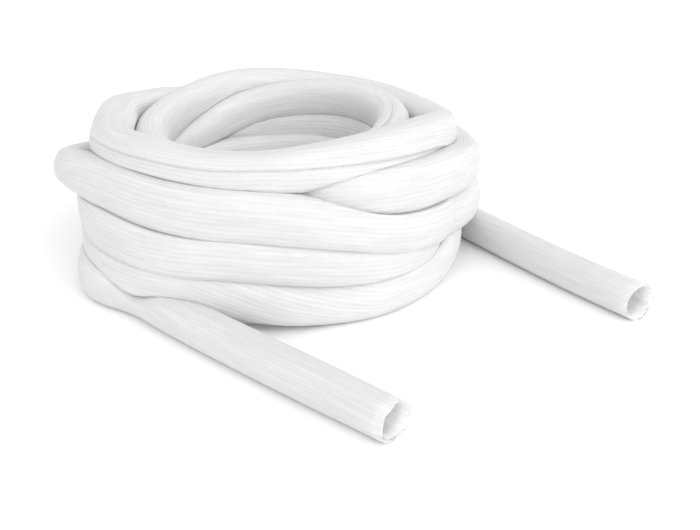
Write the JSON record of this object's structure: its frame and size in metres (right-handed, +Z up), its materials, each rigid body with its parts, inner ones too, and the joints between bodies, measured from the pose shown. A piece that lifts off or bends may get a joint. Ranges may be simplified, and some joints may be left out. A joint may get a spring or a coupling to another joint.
{
  "type": "braided cable sleeve",
  "caption": "Length of white woven slit cable sleeve, wound in a loose round coil that lies flat, with both cut ends free and open beside it.",
  "frame": {"origin": "middle of the whole part's outline seen from above, on the floor that the coil and both free ends lie on", "axes": "+Z up along the coil's axis; +X the way that both free ends point, away from the coil; +Y towards the side of the coil where the rear end leaves"},
  "size_m": [0.399, 0.3064, 0.1202],
  "materials": {
    "woven_sleeve": "fine open weave of white plastic thread with lengthwise ribs, slightly shiny"
  },
  "bodies": {
    "root": {"coiled_sleeve": "woven_sleeve", "front_end": "woven_sleeve", "rear_end": "woven_sleeve"}
  },
  "joints": []
}
